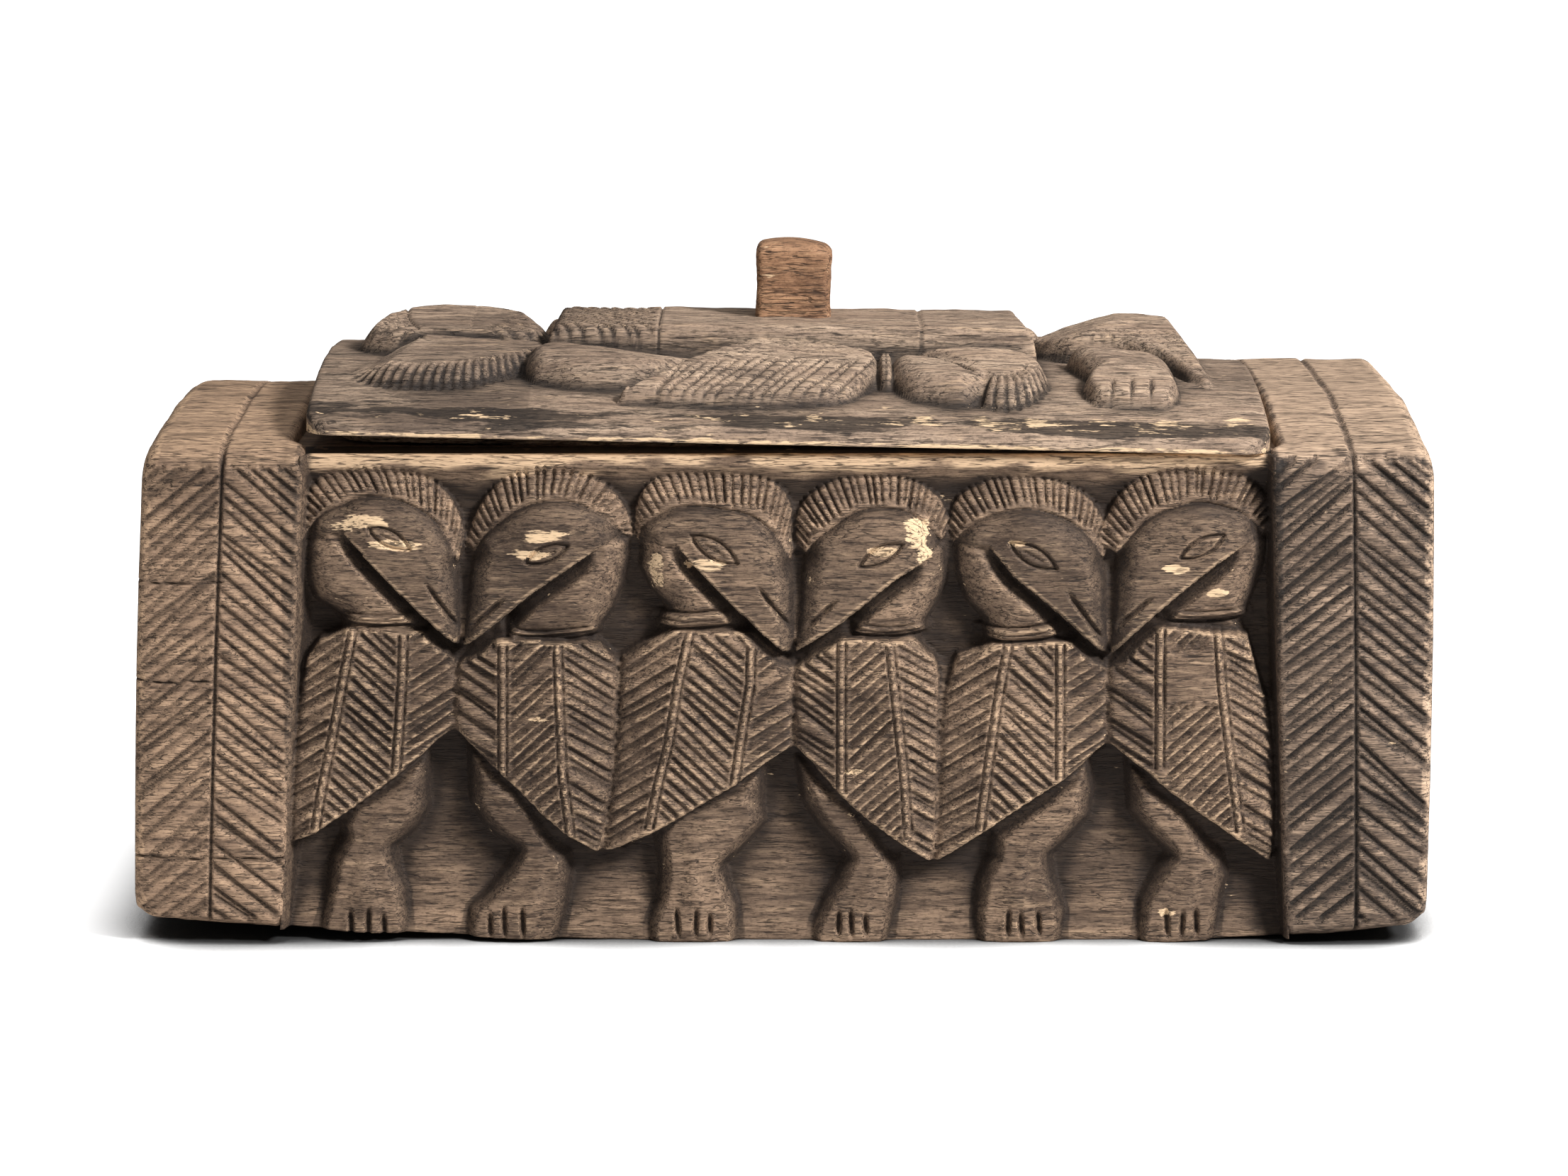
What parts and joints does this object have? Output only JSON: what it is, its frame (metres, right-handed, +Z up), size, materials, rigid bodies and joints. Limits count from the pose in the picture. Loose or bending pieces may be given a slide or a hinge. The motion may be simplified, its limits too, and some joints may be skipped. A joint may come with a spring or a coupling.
{
  "type": "carved wooden box",
  "caption": "Long carved wooden box with thick end blocks, a frieze of birds in relief along its sides and a lift-off lid with an upright finger grip.",
  "frame": {"origin": "middle of the outer box in plan, on the ground plane that the base rests on", "axes": "+X along the box from its left end to its right end as seen from the front, +Y from the front to the back, +Z up"},
  "size_m": [0.505, 0.19, 0.2653],
  "materials": {
    "wood": "hand cut, dark and dry, with pale worn edges"
  },
  "bodies": {
    "box": {"box_body": "wood"},
    "lid": {"lid": "wood"}
  },
  "joints": [
    {"name": "lid_lift", "type": "slide", "parent": "box", "child": "lid", "axis": [0, 0, 1], "range_m": [0, 0.12]}
  ]
}
